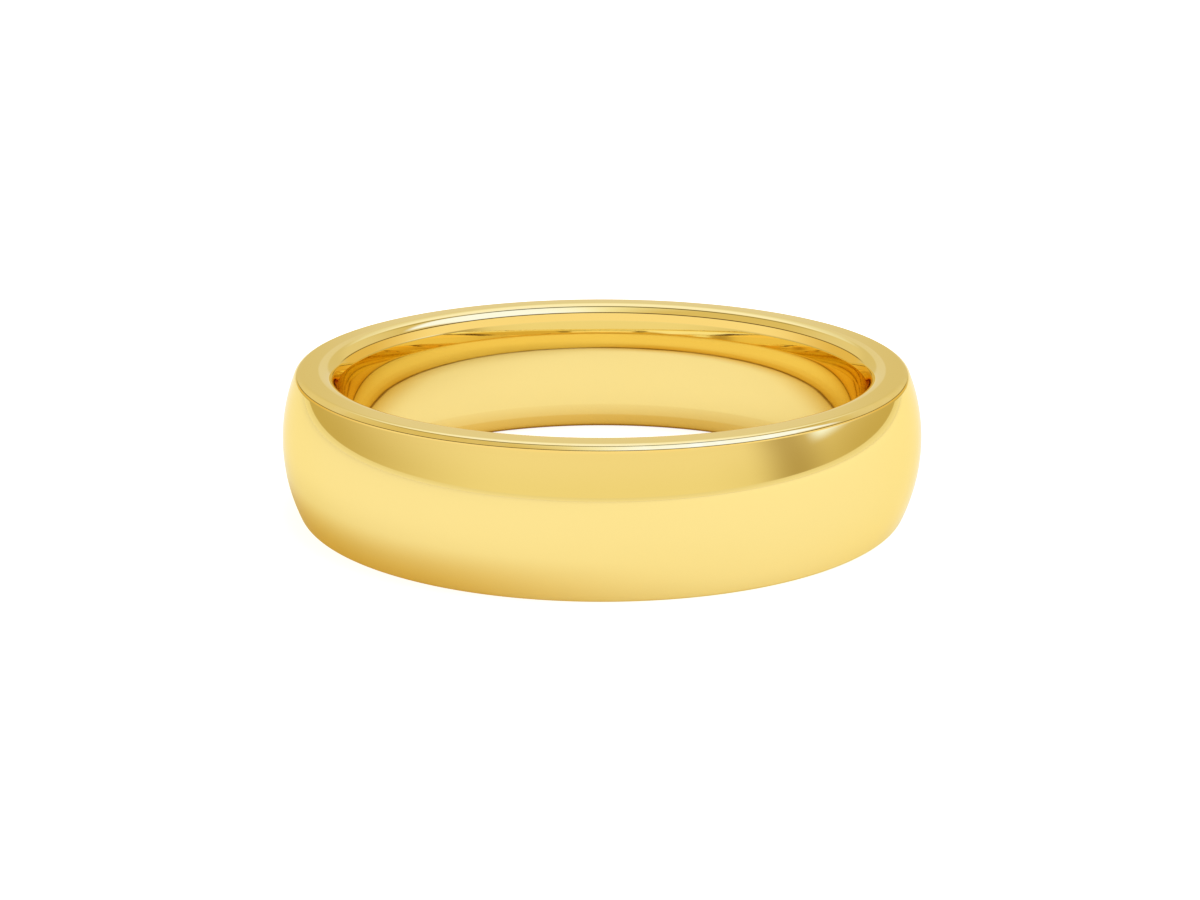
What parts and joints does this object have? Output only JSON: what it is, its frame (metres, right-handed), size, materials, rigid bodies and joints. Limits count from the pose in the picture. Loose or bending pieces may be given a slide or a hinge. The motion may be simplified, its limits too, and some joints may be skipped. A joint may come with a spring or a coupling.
{
  "type": "wedding band",
  "caption": "Plain domed finger ring with flat side faces and a comfort-fit inside that flares towards them, in mirror-polished yellow gold.",
  "frame": {"origin": "middle of the finger hole, halfway along the band's width", "axes": "+Z along the finger axis, so the band lies on a side face; it is the same all round, so +X and +Y are free"},
  "size_m": [0.022, 0.022, 0.005],
  "materials": {
    "gold": "mirror-polished yellow gold"
  },
  "bodies": {
    "root": {"band": "gold"}
  },
  "joints": []
}
